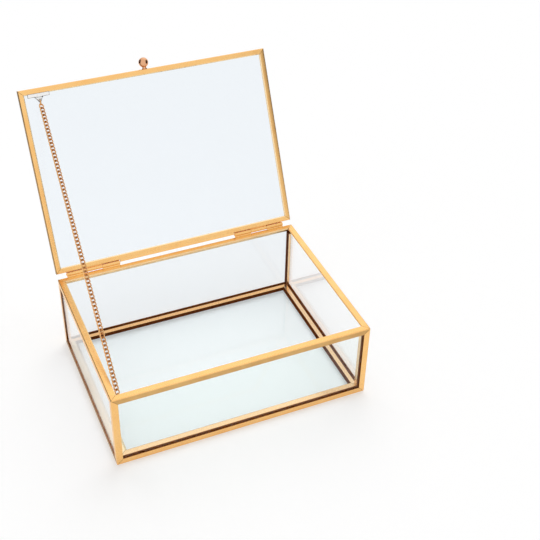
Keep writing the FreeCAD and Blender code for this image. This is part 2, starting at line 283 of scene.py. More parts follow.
class StageSettings(bpy.types.PropertyGroup):
    """Camera, floor and light."""

    azimuth: angle_property("Azimuth", "Camera's bearing", -24.527)
    elevation: angle_property("Elevation", "Camera's height", 38.284)
    roll: angle_property("Roll", "Camera's tilt about its view", 1.642)
    distance: length_property("Distance", "Camera to its target", 614.77)
    target: place_property("Target", "Point in the middle of the view", (53.754 * MM, -5.53 * MM, 21.0 * MM))
    lens: plain_property("Lens", "Focal length in millimetres", 69.01)
    floor_glow: plain_property("Floor glow", "Share of the floor's white that has no shadow", 0.42)
    floor_white: plain_property("Floor white", "Share of the floor's white that takes shadow", 0.70)
    ambient: plain_property("Ambient", "Light from all round", 0.45)
    key_place: place_property("Key place", "Where the light on dull surfaces comes from", (0.26, 0.56, 0.8))
    key_spread: angle_property("Key spread", "Angle that this light fills", 60)
    key_power: plain_property("Key power", "Strength of this light", 1.5)
    gloss_place: place_property("Gloss place", "Where the light in the gloss comes from", (0.4, 0.6, 0.75))
    gloss_spread: angle_property("Gloss spread", "Angle that this light fills", 50)
    gloss_power: plain_property("Gloss power", "Strength of this light", 0.13)


def settings(name):
    return getattr(bpy.context.scene, "glass_box_" + name)


# Materials

def new_node(tree, kind, **values):
    node = tree.nodes.new(kind)
    for name, value in values.items():
        setattr(node, name, value)
    return node


def blank_material(name):
    """A material, its empty tree and the socket for its surface."""
    material = bpy.data.materials.new(name)
    material.use_nodes = True
    tree = material.node_tree
    tree.nodes.clear()
    output = new_node(tree, "ShaderNodeOutputMaterial")
    return material, tree, output.inputs["Surface"]


def noise(tree, scale, detail, stretch=(1, 1, 1)):
    """Noise on Object coordinates, with its scale per metre."""
    place = new_node(tree, "ShaderNodeTexCoord")
    mapping = new_node(tree, "ShaderNodeMapping")
    mapping.inputs["Scale"].default_value = stretch
    texture = new_node(tree, "ShaderNodeTexNoise")
    texture.inputs["Scale"].default_value = scale
    texture.inputs["Detail"].default_value = detail
    tree.links.new(place.outputs["Object"], mapping.inputs["Vector"])
    tree.links.new(mapping.outputs["Vector"], texture.inputs["Vector"])
    return texture.outputs["Fac"]


def ranged(tree, value, low, high):
    """The middle half of a noise spread between two numbers."""
    node = new_node(tree, "ShaderNodeMapRange")
    limits = {"From Min": NOISE_LOW, "From Max": NOISE_HIGH, "To Min": low, "To Max": high}
    for name, limit in limits.items():
        node.inputs[name].default_value = limit
    tree.links.new(value, node.inputs["Value"])
    return node.outputs["Result"]


def colour_inputs(node):
    return [socket for socket in node.inputs if socket.type == "RGBA"]


def mixed_colour(tree, factor, first, second):
    node = new_node(tree, "ShaderNodeMix", data_type="RGBA")
    for socket, colour in zip(colour_inputs(node), (first, second)):
        socket.default_value = (*colour, 1)
    tree.links.new(factor, node.inputs["Factor"])
    return next(socket for socket in node.outputs if socket.type == "RGBA")


def mixed_shader(tree, factor, first, second):
    node = new_node(tree, "ShaderNodeMixShader")
    tree.links.new(factor, node.inputs["Fac"])
    tree.links.new(first, node.inputs[1])
    tree.links.new(second, node.inputs[2])
    return node.outputs["Shader"]


def metal(name, bright, deep, roughness, shade_colour=None):
    """Metal with slow changes of colour, fine changes of gloss and a faint hammer mark.

    A painted shade colour shows where the mesh's shade attribute is high.
    """
    material, tree, surface = blank_material(name)
    shader = new_node(tree, "ShaderNodeBsdfPrincipled")
    shader.inputs["Metallic"].default_value = 1.0
    colour = mixed_colour(tree, ranged(tree, noise(tree, **CLOUDS), 0, 1), bright, deep)
    if shade_colour is not None:
        shade_mask = new_node(tree, "ShaderNodeAttribute", attribute_name=SHADE_ATTRIBUTE)
        blend = mixed_colour(tree, ranged(tree, shade_mask.outputs["Fac"], 0, 1), bright, shade_colour)
        tree.links.new(colour, colour_inputs(blend.node)[0])
        colour = blend
    tree.links.new(colour, shader.inputs["Base Color"])
    tree.links.new(ranged(tree, noise(tree, **GRAIN), *roughness), shader.inputs["Roughness"])
    bump = new_node(tree, "ShaderNodeBump")
    bump.inputs["Strength"].default_value = HAMMER_STRENGTH
    bump.inputs["Distance"].default_value = HAMMER_DEPTH
    tree.links.new(noise(tree, **HAMMERING), bump.inputs["Height"])
    tree.links.new(bump.outputs["Normal"], shader.inputs["Normal"])
    tree.links.new(shader.outputs["BSDF"], surface)
    return material


def dark_spotted(name, dark):
    """Dark brass with lighter spots where the brass lies on the glass; the same finish paints shade on the back
    and right beads and round the lug.
    """
    material, tree, surface = blank_material(name)
    shader = new_node(tree, "ShaderNodeBsdfPrincipled")
    lighter = [min(1, SPOT_LIFT * part) for part in dark]
    spots = ranged(tree, noise(tree, **DARK_SPOTS), 0, 1)
    tree.links.new(mixed_colour(tree, spots, dark, lighter), shader.inputs["Base Color"])
    tree.links.new(ranged(tree, noise(tree, **DARK_GRAIN), *BEDDED_POLISH), shader.inputs["Roughness"])
    shader.inputs["Specular IOR Level"].default_value = DARK_SHINE
    tree.links.new(shader.outputs["BSDF"], surface)
    return material


def clear_glass(name, tint, mirror):
    """Clear sheet glass with faint smears, which lets lamp light through."""
    material, tree, surface = blank_material(name)
    shader = new_node(tree, "ShaderNodeBsdfPrincipled")
    shader.inputs["Base Color"].default_value = (*tint, 1)
    shader.inputs["Transmission Weight"].default_value = 1.0
    shader.inputs["IOR"].default_value = GLASS_IOR
    shader.inputs["Specular Tint"].default_value = (mirror, mirror, mirror, 1)
    tree.links.new(ranged(tree, noise(tree, **SMEARS), *GLASS_POLISH), shader.inputs["Roughness"])
    through = new_node(tree, "ShaderNodeBsdfTransparent")
    through.inputs["Color"].default_value = (*(math.sqrt(part) for part in tint), 1)
    path = new_node(tree, "ShaderNodeLightPath")
    shown = mixed_shader(tree, path.outputs["Is Shadow Ray"], shader.outputs["BSDF"], through.outputs["BSDF"])
    tree.links.new(shown, surface)
    return material


def seen_rays(tree):
    """One for a ray from the camera, or off metal or through glass, and nought for others."""
    path = new_node(tree, "ShaderNodeLightPath")
    found = path.outputs["Is Camera Ray"]
    for name in ("Is Glossy Ray", "Is Transmission Ray"):
        larger = new_node(tree, "ShaderNodeMath", operation="MAXIMUM")
        tree.links.new(found, larger.inputs[0])
        tree.links.new(path.outputs[name], larger.inputs[1])
        found = larger.outputs["Value"]
    return found


MATERIALS = {}


def shaded(colour, share):
    return [share * part for part in colour]


def make_materials():
    colours = settings("finishes")
    brass, deep = colours.brass, colours.brass_deep

    def patchy(name, colour_name, roughness, shade_colour=None):
        """Metal whose darker patches keep a share of its own colour."""
        colour = getattr(colours, colour_name)
        return metal(name, colour, shaded(colour, DEEP_SHARES[colour_name]), roughness, shade_colour)

    MATERIALS["frame"] = metal("frame_brass_bright", brass, deep, FRAME_POLISH)
    # Darker copies of the frame brass, which paint shade on the listed rails' outer sides and on the top rails'
    # inner faces
    MATERIALS["dull"] = metal(
        "frame_brass_dulled", shaded(brass, SHADE_PAINTED_BRIGHT), shaded(deep, SHADE_PAINTED_DEEP), SHADE_PAINTED_POLISH
    )
    MATERIALS["aged"] = metal(
        "frame_brass_aged", shaded(brass, DEEP_SHADE_BRIGHT), shaded(deep, DEEP_SHADE_DEEP), DEEP_SHADE_POLISH
    )
    # Lighter and deeper copies of the brass for single places, as painted light and shade
    MATERIALS["rim"] = patchy("rim_brass_pale", "rim", RIM_POLISH)
    MATERIALS["bead"] = patchy("bead_brass_bright", "bead", BEAD_POLISH)
    MATERIALS["bead_right"] = patchy("bead_brass_pale", "bead_pale", BEAD_POLISH)
    MATERIALS["bead_back"] = patchy("bead_brass_deep", "bead_deep", BEAD_POLISH)
    # The chain's link ends take painted shade
    MATERIALS["chain"] = patchy("chain_brass_wire", "chain", WIRE_POLISH, colours.chain_end_shade)
    MATERIALS["knob"] = patchy("knob_brass_polished", "knob", KNOB_POLISH)
    # Near-white lug as a painted highlight, and its border of painted shade
    MATERIALS["lug"] = patchy("lug_tinned", "lug", LUG_POLISH)
    MATERIALS["lug_edge"] = dark_spotted("lug_cut_edge", colours.lug_edge)
    MATERIALS["bedding"] = dark_spotted("brass_bedded_on_glass", colours.bedding)
    # Painted shade for the back and right beads' dark faces
    MATERIALS["tarnish"] = dark_spotted("bead_brass_tarnished", colours.tarnish)
    # Each pane's own tint also paints the light and shade on it
    for name, mirror in MIRRORS.items():
        MATERIALS[name] = clear_glass("clear_" + name, getattr(colours, name), mirror)


def chosen(names):
    return [MATERIALS[name] for name in names]


# Meshes

def new_object(name, data):
    """An object in the scene."""
    item = bpy.data.objects.new(name, data)
    bpy.context.scene.collection.objects.link(item)
    return item


def mesh_from(grid, name):
    """The mesh of a bmesh, which is freed."""
    mesh = bpy.data.meshes.new(name)
    grid.to_mesh(mesh)
    grid.free()
    return mesh


def plain_mesh(carrier):
    """The mesh of an object with its modifiers applied; the object is removed."""
    graph = bpy.context.evaluated_depsgraph_get()
    mesh = bpy.data.meshes.new_from_object(carrier.evaluated_get(graph))
    bpy.data.objects.remove(carrier)
    return mesh


def finished(name, mesh, body, materials, replaced):
    """Make a mesh a piece that rides on a body and stands for CAD nodes."""
    mesh.name = name
    for material in materials:
        mesh.materials.append(material)
    piece = new_object(name, mesh)
    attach(piece, body)
    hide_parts(*replaced)
    return piece


def rounded(mesh, width, segments=2):
    """The mesh with its sharp edges rounded, and normals that keep its flats flat."""
    carrier = new_object("carrier", mesh)
    bevel = carrier.modifiers.new("edges", "BEVEL")
    bevel.width = width
    bevel.segments = segments
    bevel.limit_method = "ANGLE"
    bevel.angle_limit = ROUNDED_FROM
    bevel.harden_normals = True
    bevel.use_clamp_overlap = True
    return plain_mesh(carrier)


def swept(start, end, first, second, outline, mitre):
    """Mesh of an outline drawn from one mitred end to the other.

    The outline holds (a, b, finish): distances along the two inward directions, and the
    finish of the face from that point to the next.
    """
    along = (end - start).normalized()
    seam = settings("brass").seam
    grid = bmesh.new()
    rings = []
    for corner, axis in ((start, along), (end, -along)):
        points = [corner + first * a + second * b + axis * (mitre(a, b) + seam) for a, b, _ in outline]
        rings.append([grid.verts.new(point) for point in points])
    count = len(outline)
    for index in range(count):
        after = (index + 1) % count
        face = grid.faces.new((rings[0][index], rings[0][after], rings[1][after], rings[1][index]))
        face.material_index = outline[index][2]

    # A mitred angle has a bent end, so its cap is split along the fold
    folds = [index for index, (a, b, _) in enumerate(outline) if abs(a - b) < ON_FOLD]
    for ring in rings:
        if len(folds) == 2:
            caps = [ring[folds[0]:folds[1] + 1], ring[folds[1]:] + ring[:folds[0] + 1]]
        else:
            caps = [ring]
        for cap in caps:
            grid.faces.new(cap).material_index = BEDDED
    bmesh.ops.recalc_face_normals(grid, faces=grid.faces)
    for face in grid.faces:
        face.smooth = True
    return mesh_from(grid, "swept")


def fold_arc(centre, radius, from_angle, steps, finish=BRIGHT):
    """Points round a quarter fold, ends left out."""
    angles = [from_angle + math.pi / 2 * step / steps for step in range(1, steps)]
    return [(centre[0] + radius * math.cos(a), centre[1] + radius * math.sin(a), finish) for a in angles]


def angle_outline(leg, top, outer, cut_edge, inner):
    """A folded angle, with the finishes of the outside of each leg, of its cut edges and of its inside."""
    brass = settings("brass")
    sheet, bend = brass.sheet, brass.bend
    arc = fold_arc((bend, bend), bend, math.pi, brass.bend_steps, top)
    return [
        (sheet, sheet, inner),
        (sheet, leg, cut_edge),
        (0, leg, outer),
        (0, bend, top),
        *arc,
        (bend, 0, top),
        (leg, 0, cut_edge),
        (leg, sheet, inner),
    ]


def channel_outline(flange, thickness, web):
    """A folded channel with a sealed lip on its inner flange, and the finish of its web. The lip and the inner
    face of the upper flange take the pale copy of the brass, a painted highlight.
    """
    brass = settings("brass")
    sheet, bend = brass.sheet, brass.bend
    lower = fold_arc((bend, bend), bend, math.pi, brass.bend_steps, web)
    upper = fold_arc((bend, thickness - bend), bend, math.pi / 2, brass.bend_steps)
    sealed, contact = flange + brass.lip, sheet + brass.lip_contact
    return [
        (flange, 0, PALE),
        (sealed, contact, BRIGHT),
        (sheet, sheet, BRIGHT),
        (sheet, thickness - sheet, PALE),
        (flange, thickness - sheet, BRIGHT),
        (flange, thickness, BRIGHT),
        (bend, thickness, BRIGHT),
        *upper,
        (0, thickness - bend, web),
        (0, bend, web),
        *lower,
        (bend, 0, BRIGHT),
    ]


def rim_bead_outline(across, down):
    """A rim bead, bedded on its pane, with a crowned open face."""
    crown = settings("brass").bead_crown
    fold = across * down / (across + down)
    return [
        (0, 0, BRIGHT),
        (across, 0, BRIGHT),
        (fold + crown, fold + crown, BRIGHT),
        (0, down, BEDDED),
    ]


def floor_bead_outline(foot, height, slope, back):
    """A floor bead, bedded on floor and pane, with a band of its back finish along the pane, and sloped to its
    foot.
    """
    brass = settings("brass")
    back_band = brass.wide_shade_band if slope == BEDDED else brass.thin_back_band
    middle = (back_band + brass.bead_top) / 2
    return [
        (0, 0, BEDDED),
        (foot, 0, slope),
        (brass.bead_top, height, BRIGHT),
        (middle, height + brass.bead_crown, BRIGHT),
        (back_band, height, back),
        (0, height, back),
    ]


def corner_bead_outline(width, depth, flank):
    """A corner bar, bedded on both panes, with a dark band of its bedded finish along the front or back pane.
    """
    return [
        (0, 0, BEDDED),
        (width, 0, BEDDED),
        (width, settings("brass").thin_back_band, flank),
        (width, depth, BRIGHT),
        (0, depth, BEDDED),
    ]


def mitre_inward(a, b):
    return a


def square_cut(a, b):
    return 0


def frame_edges(low, high):
    """Level, name, ends and inward directions of the twelve edges of a box."""
    def corner(sx, sy, rise):
        return Vector((low.x if sx < 0 else high.x, low.y if sy < 0 else high.y, high.z if rise else low.z))

    for level, rise, up in (("bottom", 0, Z), ("top", 1, -Z)):
        for name, sy in ACROSS.items():
            yield level, name, corner(-1, sy, rise), corner(1, sy, rise), Y * -sy, up
        for name, sx in FLANKS.items():
            yield level, name, corner(sx, -1, rise), corner(sx, 1, rise), X * -sx, up
    for depth_name, sy in ACROSS.items():
        for flank_name, sx in FLANKS.items():
            name = depth_name + "_" + flank_name
            yield "corner", name, corner(sx, sy, 0), corner(sx, sy, 1), X * -sx, Y * -sy


def build_base_rails():
    kinds = {"bottom": "bottom_rail_", "top": "top_rail_", "corner": "corner_post_"}
    for level, name, start, end, first, second in frame_edges(BASE_LOW, BASE_HIGH):
        node = kinds[level] + name
        low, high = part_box(node)
        leg = max(abs((high - low).dot(first)), abs((high - low).dot(second)))
        # The back rail's top takes the pale copy of the brass as a painted highlight
        top = PALE if node == "top_rail_back" else BRIGHT
        # Painted shade on the outer side of the listed rails
        outer = SHADE_PAINTED.get(node, BRIGHT)
        # The top rails' inner faces take the darker copy of the brass as painted shade
        cut_edge, inner = (top, SHADED) if level == "top" else (BEDDED, BEDDED)
        mesh = swept(start, end, first, second, angle_outline(leg, top, outer, cut_edge, inner), max)
        mesh = rounded(mesh, settings("brass").edge_round)
        finished("angle_" + node, mesh, "base", chosen(RAIL_FINISHES), [node])


def bead_finishes(level, name):
    """Finishes of a bead's bright and bedded faces. Copies of the brass tuned to each place paint its light:
    pale on the rim beads and the left bead, pale or deep on the back and right beads, whose bedded faces take
    painted shade.
    """
    if level == "top":
        return chosen(("rim", "bedding"))
    # The back and right beads take painted shade in place of their bedding
    if name in SHADE_PAINTED_BEADS:
        return chosen(("bead_back" if name == "back" else "bead_right", "tarnish"))
    return chosen(("rim" if name in BRIGHT_BACKED else "bead", "bedding"))


def build_beads():
    kinds = {"bottom": "floor_bead_", "top": "rim_bead_", "corner": "corner_bead_"}
    brass = settings("brass")
    for level, name, start, end, first, second in frame_edges(INNER_LOW, INNER_HIGH):
        node = kinds[level] + name
        low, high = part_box(node)
        across, down = abs((high - low).dot(first)), abs((high - low).dot(second))
        # Painted shade on the open face of the back and right beads
        open_face = BEDDED if name in SHADE_PAINTED_BEADS else BRIGHT
        # The left bead's back takes the pale copy of the brass, a painted highlight seen through its pane
        back = BRIGHT if name in BRIGHT_BACKED else BEDDED
        mitre = mitre_inward
        if level == "corner":
            start.z, end.z = low.z, high.z
            width = across - brass.chain_room if name == "front_left" else across
            outline, mitre = corner_bead_outline(width, down, open_face), square_cut
        elif level == "top":
            outline = rim_bead_outline(across, down)
        else:
            outline = floor_bead_outline(across, down, open_face, back)
        mesh = rounded(swept(start, end, first, second, outline, mitre), brass.edge_round)
        finished("strip_" + node, mesh, "base", bead_finishes(level, name), [node])


def with_hinge_lip(mesh, start, end, inward, up):
    """The lid's back rail with a folded lip that fills most of the slot between the hinges."""
    brass = settings("brass")
    near, far = start.copy(), end.copy()
    near.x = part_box("hinge_leaf_lid_left")[1].x + brass.hinge_room
    far.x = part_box("hinge_leaf_lid_right")[0].x - brass.hinge_room
    fold = 2 * brass.sheet
    outline = [
        (brass.bend, 0, BRIGHT),
        (-brass.hinge_lip, 0, BRIGHT),
        (-brass.hinge_lip, fold, BRIGHT),
        (brass.bend, fold, BRIGHT),
    ]
    grid = bmesh.new()
    grid.from_mesh(mesh)
    grid.from_mesh(swept(near, far, inward, up, outline, square_cut))
    return mesh_from(grid, "lipped")


def build_lid_rails():
    thickness = LID_HIGH.z - LID_LOW.z
    low, high = shut_box("lid_rail_front")
    for level, name, start, end, inward, up in frame_edges(LID_LOW, LID_HIGH):
        if level == "bottom":
            node = "lid_rail_" + name
            # A listed lid rail gets painted shade on its web
            outline = channel_outline(high.y - low.y, thickness, SHADE_PAINTED.get(node, BRIGHT))
            mesh = swept(start, end, inward, up, outline, mitre_inward)
            if name == "back":
                mesh = with_hinge_lip(mesh, start, end, inward, up)
            mesh = rounded(mesh, settings("brass").edge_round)
            mesh.transform(OPEN)
            finished("channel_" + node, mesh, "lid", chosen(RAIL_FINISHES), [node])


def pane_mesh(low, high):
    """Pane with ground edges, a hair smaller than its seat."""
    grid = bmesh.new()
    size = high - low - Vector((2 * PANE_PLAY,) * 3)
    place = Matrix.Translation((low + high) / 2) @ Matrix.Diagonal((*size, 1))
    bmesh.ops.create_cube(grid, size=1, matrix=place)
    return rounded(mesh_from(grid, "pane"), GROUND_EDGE, 1)


def build_panes():
    tints = {"floor": "floor", "front": "front", "back": "wall", "left": "side", "right": "side"}
    for name, tint in tints.items():
        node = name + "_glass"
        finish = chosen([tint + "_glass"])
        finished("pane_" + name, pane_mesh(*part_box(node)), "base", finish, [node])
    mesh = pane_mesh(*shut_box("lid_glass"))
    mesh.transform(OPEN)
    finished("pane_lid", mesh, "lid", chosen(["lid_glass"]), ["lid_glass"])


def lathed(profile, place):
    """Solid of revolution about Z from (radius, height) points, put in place by a matrix."""
    grid = bmesh.new()
    points = [grid.verts.new((radius, 0, height)) for radius, height in profile]
    edges = [grid.edges.new(pair) for pair in zip(points, points[1:])]
    bmesh.ops.spin(
        grid, geom=points + edges, cent=(0, 0, 0), axis=Z, angle=math.tau, steps=KNOB_SIDES, use_merge=True
    )
    bmesh.ops.remove_doubles(grid, verts=grid.verts, dist=MERGE_REACH)
    bmesh.ops.recalc_face_normals(grid, faces=grid.faces)
    for face in grid.faces:
        face.smooth = True
    mesh = mesh_from(grid, "lathed")
    mesh.set_sharp_from_angle(angle=SHARP_FROM)
    mesh.transform(place)
    return mesh


def build_knob():
    """Collar, waisted neck and ball on the lid's front edge."""
    brass = settings("brass")
    low, high = shut_box("knob")
    ball = (high.x - low.x) / 2
    face = LID_LOW.y
    centre_height = face - low.y - ball
    profile = [
        (0, 0),
        (brass.collar_radius - brass.edge_round, 0),
        (brass.collar_radius, brass.edge_round),
        (brass.collar_radius, brass.collar_length - brass.edge_round),
        (brass.collar_radius - brass.edge_round, brass.collar_length),
    ]
    meeting = math.asin(brass.neck_radius / ball)
    neck_top = centre_height - ball * math.cos(meeting)
    for step in range(NECK_STEPS + 1):
        share = step / NECK_STEPS
        waist = WAIST * brass.neck_radius * math.sin(math.pi * share)
        height = brass.collar_length + (neck_top - brass.collar_length) * share
        profile.append((brass.neck_radius - waist, height))
    for step in range(1, BALL_STEPS + 1):
        angle = meeting + (math.pi - meeting) * step / BALL_STEPS
        profile.append((ball * math.sin(angle), centre_height - ball * math.cos(angle)))
    profile[-1] = (0, profile[-1][1])
    middle = Vector(((low.x + high.x) / 2, face, (low.z + high.z) / 2))
    place = OPEN @ Matrix.Translation(middle) @ Matrix.Rotation(math.pi / 2, 4, "X")
    finished("knob_turned", lathed(profile, place), "lid", chosen(["knob"]), ["knob"])


# Stay chain

def chain_ends():
    return Vector(JOINTS["chain_base_fall_link"]["pos_m"]), Vector(JOINTS["chain_lid_fall_link"]["pos_m"])


def link_tree():
    """Node tree that sets curb links along an edge, one at each pitch, flat side up in Z."""
    tree = bpy.data.node_groups.new("curb_chain", "GeometryNodeTree")
    inputs = {
        "Geometry": "Geometry", "Links": "Int", "Sides": "Int", "Half length": "Float", "Half width": "Float",
        "Wire radius": "Float", "Twist": "Float", "Finish": "Material",
    }
    for name, kind in inputs.items():
        tree.interface.new_socket(name, in_out="INPUT", socket_type="NodeSocket" + kind)
    tree.interface.new_socket("Geometry", in_out="OUTPUT", socket_type="NodeSocketGeometry")
    source = new_node(tree, "NodeGroupInput")
    result = new_node(tree, "NodeGroupOutput")
    link = tree.links.new

    # One link: a circle drawn out to an oval, with its wire rising and falling twice round it
    circle = new_node(tree, "GeometryNodeCurvePrimitiveCircle", mode="RADIUS")
    circle.inputs["Resolution"].default_value = LINK_POINTS
    circle.inputs["Radius"].default_value = 1.0
    position = new_node(tree, "GeometryNodeInputPosition")
    apart = new_node(tree, "ShaderNodeSeparateXYZ")
    link(position.outputs[0], apart.inputs[0])

    def product(first, second):
        node = new_node(tree, "ShaderNodeMath", operation="MULTIPLY")
        link(first, node.inputs[0])
        link(second, node.inputs[1])
        return node.outputs[0]

    along = product(apart.outputs["X"], source.outputs["Half length"])
    aside = product(apart.outputs["Y"], source.outputs["Half width"])
    double_sine = product(apart.outputs["X"], apart.outputs["Y"])
    rise = product(double_sine, source.outputs["Twist"])
    twice = new_node(tree, "ShaderNodeMath", operation="MULTIPLY")
    twice.inputs[1].default_value = 2.0
    link(rise, twice.inputs[0])
    joined = new_node(tree, "ShaderNodeCombineXYZ")
    link(along, joined.inputs["X"])
    link(aside, joined.inputs["Y"])
    link(twice.outputs[0], joined.inputs["Z"])
    # Painted shade: the ends of each link, where it overlaps the next, are marked for the darker colour
    shade_mask = new_node(tree, "GeometryNodeStoreNamedAttribute", data_type="FLOAT", domain="POINT")
    shade_mask.inputs["Name"].default_value = SHADE_ATTRIBUTE
    link(circle.outputs["Curve"], shade_mask.inputs["Geometry"])
    link(product(apart.outputs["X"], apart.outputs["X"]), shade_mask.inputs["Value"])
    oval = new_node(tree, "GeometryNodeSetPosition")
    link(shade_mask.outputs["Geometry"], oval.inputs["Geometry"])
    link(joined.outputs[0], oval.inputs["Position"])
    section = new_node(tree, "GeometryNodeCurvePrimitiveCircle", mode="RADIUS")
    link(source.outputs["Sides"], section.inputs["Resolution"])
    link(source.outputs["Wire radius"], section.inputs["Radius"])
    wire = new_node(tree, "GeometryNodeCurveToMesh")
    link(oval.outputs["Geometry"], wire.inputs["Curve"])
    link(section.outputs["Curve"], wire.inputs["Profile Curve"])
    smooth = new_node(tree, "GeometryNodeSetShadeSmooth")
    link(wire.outputs["Mesh"], smooth.inputs["Geometry"])

    # The links stand at evenly spaced points of the edge and point along it
    path = new_node(tree, "GeometryNodeMeshToCurve")
    spaced = new_node(tree, "GeometryNodeResampleCurve", mode="COUNT")
    link(source.outputs["Geometry"], path.inputs["Mesh"])
    link(path.outputs["Curve"], spaced.inputs["Curve"])
    link(source.outputs["Links"], spaced.inputs["Count"])
    spots = new_node(tree, "GeometryNodeInstanceOnPoints")
    link(spaced.outputs["Curve"], spots.inputs["Points"])
    link(smooth.outputs["Geometry"], spots.inputs["Instance"])
    realised = new_node(tree, "GeometryNodeRealizeInstances")
    finish = new_node(tree, "GeometryNodeSetMaterial")
    link(spots.outputs["Instances"], realised.inputs["Geometry"])
    link(realised.outputs["Geometry"], finish.inputs["Geometry"])
    link(source.outputs["Finish"], finish.inputs["Material"])
    link(finish.outputs["Geometry"], result.inputs["Geometry"])
    return tree


def link_run(tree, first_index, last_index, pitch):
    """Plain mesh of the links from one index to another, along X from the chain's start."""
    sizes = settings("chain")
    mesh = bpy.data.meshes.new("run")
    ends = [(first_index * pitch, 0, 0), (last_index * pitch, 0, 0)]
    mesh.from_pydata(ends, [(0, 1)], [])
    carrier = new_object("run", mesh)
    modifier = carrier.modifiers.new("links", "NODES")
    modifier.node_group = tree
    values = {
        "Links": last_index - first_index + 1,
        "Sides": WIRE_SIDES,
        "Half length": (pitch + sizes.wire) / 2,
        "Half width": (sizes.width - sizes.wire) / 2,
        "Wire radius": sizes.wire / 2,
        "Twist": sizes.twist,
        "Finish": MATERIALS["chain"],
    }
    for item in tree.interface.items_tree:
        if item.in_out == "INPUT" and item.name in values:
            modifier[item.identifier] = values[item.name]
    result = plain_mesh(carrier)
    if not result.polygons:
        raise RuntimeError("the chain's links came out empty")
    return result


def build_chain():
    """Curb links on each body of the chain, from the base's eye to the lid's ring."""
    start, end = chain_ends()
    along = (end - start).normalized()
    side = along.cross(Z).normalized()
    up = side.cross(along)
    place = Matrix.Translation(start) @ Matrix((along, up.cross(along), up)).transposed().to_4x4()
    link_count = 2 * round((end - start).length / settings("chain").pitch / 2)
    pitch = (end - start).length / link_count

    def index_of(joint):
        return round((Vector(JOINTS[joint]["pos_m"]) - start).length / pitch)

    fall_end, turn_start = index_of("chain_base_run_link"), index_of("chain_turn_link")
    far_end = index_of("chain_lid_run_link")
    turn_end = turn_start + 1
    runs = {
        "chain_base_fall": (1, fall_end - 1),
        "chain_base_run": (fall_end, turn_start - 1),
        "chain_turn": (turn_start, turn_end),
        "chain_lid_run": (turn_end + 1, far_end),
        "chain_lid_fall": (far_end + 1, link_count - 1),
    }
    tree = link_tree()
    for body, (first_index, last_index) in runs.items():
        mesh = link_run(tree, first_index, last_index, pitch)
        mesh.transform(place)
        mesh.materials.clear()
        finished("links_" + body, mesh, body, chosen(["chain"]), [body])


def build_lug():
    """The strip that holds the chain: its flat faces are painted near white as a highlight, with a border of
    painted shade round them.
    """
    grid = bmesh.new()
    grid.from_mesh(frame["nodes"]["chain_lug"].data)
    bmesh.ops.remove_doubles(grid, verts=grid.verts, dist=MERGE_REACH)
    bmesh.ops.dissolve_limit(grid, angle_limit=FLAT_WITHIN, verts=grid.verts, edges=grid.edges)
    highlight, dark = 0, 1
    for face in grid.faces:
        face.material_index = dark
    turn = SHUT.to_3x3()
    border = settings("brass").lug_border
    for sign in (1, -1):
        faces = [face for face in grid.faces if sign * (turn @ face.normal).z > LUG_FACING]
        bmesh.ops.inset_region(grid, faces=faces, thickness=border, use_even_offset=True, use_boundary=True)
        for face in faces:
            face.material_index = highlight
    mesh = mesh_from(grid, "lug")
    finished("strip_chain_lug", mesh, "lid", chosen(["lug", "lug_edge"]), ["chain_lug"])


def dress_fittings():
    """Finishes of the pieces whose CAD shape is kept."""
    kept = {"chain_eye": "chain", "lug_ring": "chain"}
    for side in FLANKS:
        for piece in ("hinge_leaf_base_", "hinge_leaf_lid_", "hinge_pin_"):
            kept[piece + side] = "frame"
    for node, finish in kept.items():
        mesh = frame["nodes"][node].data
        mesh.materials.clear()
        mesh.materials.append(MATERIALS[finish])


# Stage

def sheet_mesh(name, width, height):
    """Flat sheet about its own middle."""
    mesh = bpy.data.meshes.new(name)
    x, y = width / 2, height / 2
    mesh.from_pydata([(-x, -y, 0), (x, -y, 0), (x, y, 0), (-x, y, 0)], [], [(0, 1, 2, 3)])
    return mesh


def build_floor():
    """Floor that shows white with the object's shadow, and bounces a plain light."""
    stage = settings("stage")
    mesh = sheet_mesh("floor", 2 * FLOOR_HALF, 2 * FLOOR_HALF)
    floor = new_object("floor", mesh)
    floor.location.z = CAD_BOUNDS[0].z - FLOOR_DROP
    material, tree, surface = blank_material("pale_floor")
    plain = new_node(tree, "ShaderNodeBsdfDiffuse")
    plain.inputs["Color"].default_value = (FLOOR_BOUNCE,) * 3 + (1,)
    shown = new_node(tree, "ShaderNodeBsdfDiffuse")
    shown.inputs["Color"].default_value = (stage.floor_white,) * 3 + (1,)
    glow = new_node(tree, "ShaderNodeEmission")
    glow.inputs["Strength"].default_value = stage.floor_glow
    both = new_node(tree, "ShaderNodeAddShader")
    tree.links.new(shown.outputs["BSDF"], both.inputs[0])
    tree.links.new(glow.outputs["Emission"], both.inputs[1])
    mix = mixed_shader(tree, seen_rays(tree), plain.outputs["BSDF"], both.outputs["Shader"])
    tree.links.new(mix, surface)
    mesh.materials.append(material)


def build_world():
    """White to the eye, and a softer light on the object."""
    world = bpy.data.worlds.new("white_room")
    bpy.context.scene.world = world
    world.use_nodes = True
    tree = world.node_tree
    tree.nodes.clear()
    output = new_node(tree, "ShaderNodeOutputWorld")
    lights = []
    for strength in (settings("stage").ambient, 1.0):
        background = new_node(tree, "ShaderNodeBackground")
        background.inputs["Color"].default_value = (1, 1, 1, 1)
        background.inputs["Strength"].default_value = strength
        lights.append(background.outputs["Background"])
    tree.links.new(mixed_shader(tree, seen_rays(tree), *lights), output.inputs["Surface"])


def turn_to(item, direction, forward):
    """Turn an object so that one of its axes points in a direction."""
    item.rotation_mode = "QUATERNION"
    item.rotation_quaternion = direction.to_track_quat(forward, "Y")


